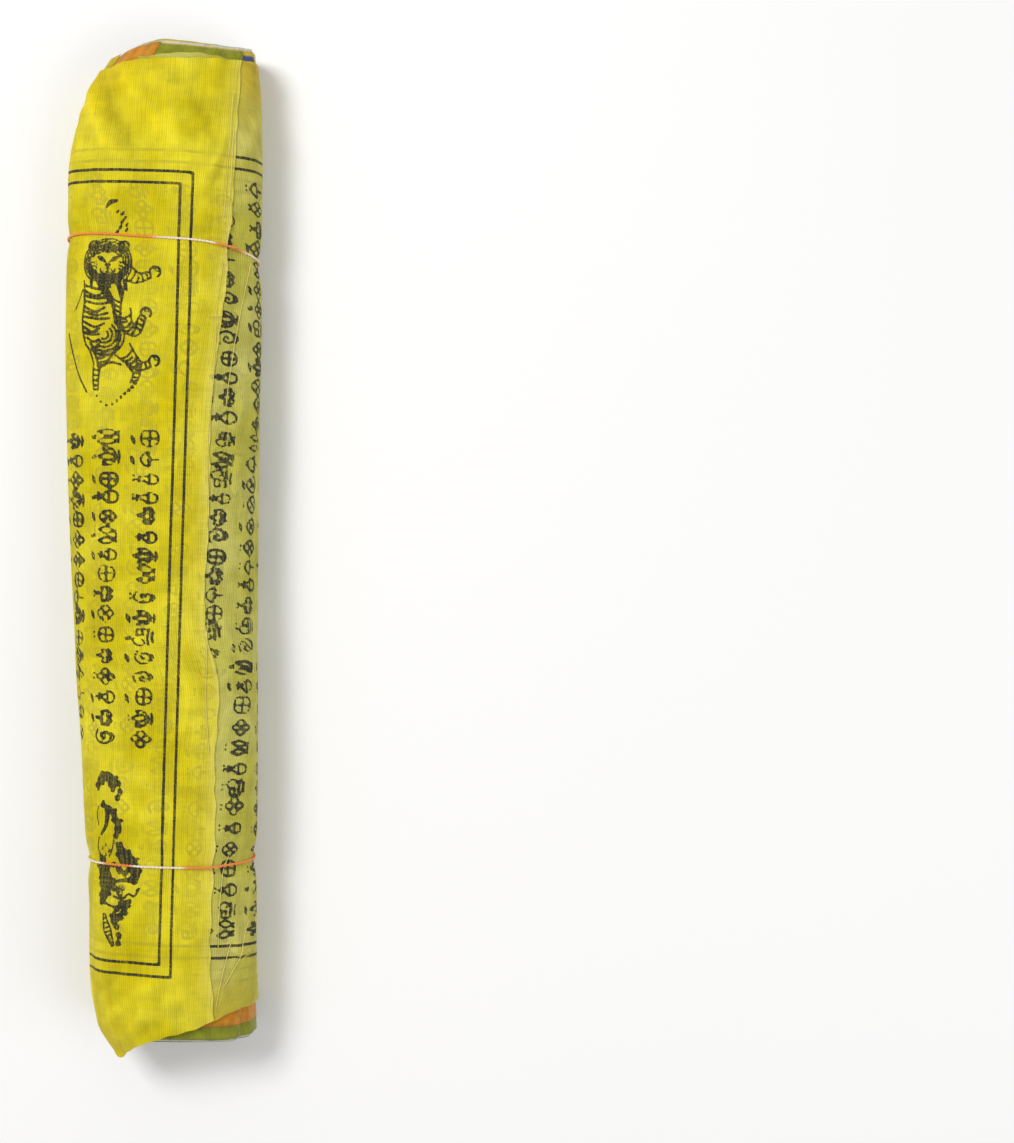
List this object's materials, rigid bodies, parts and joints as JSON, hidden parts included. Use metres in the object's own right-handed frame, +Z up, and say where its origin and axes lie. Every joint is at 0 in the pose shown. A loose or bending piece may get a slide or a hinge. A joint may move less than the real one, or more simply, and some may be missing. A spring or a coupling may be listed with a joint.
{
  "type": "roll of prayer flags",
  "caption": "Stack of thin printed cotton flags wound into a long flattened roll and held by two thread ties.",
  "frame": {"origin": "middle of the roll's footprint on the surface that it rests on", "axes": "+Y along the roll, +Z up, +X to the right when the side with the free edge is seen from above"},
  "size_m": [0.061, 0.31, 0.0317],
  "materials": {
    "printed_cotton": "thin plain-weave cotton, dyed yellow and block printed",
    "tie_thread": "thin twisted thread, orange and white"
  },
  "bodies": {
    "root": {"roll": "printed_cotton", "tie_upper": "tie_thread", "tie_lower": "tie_thread"}
  },
  "joints": []
}
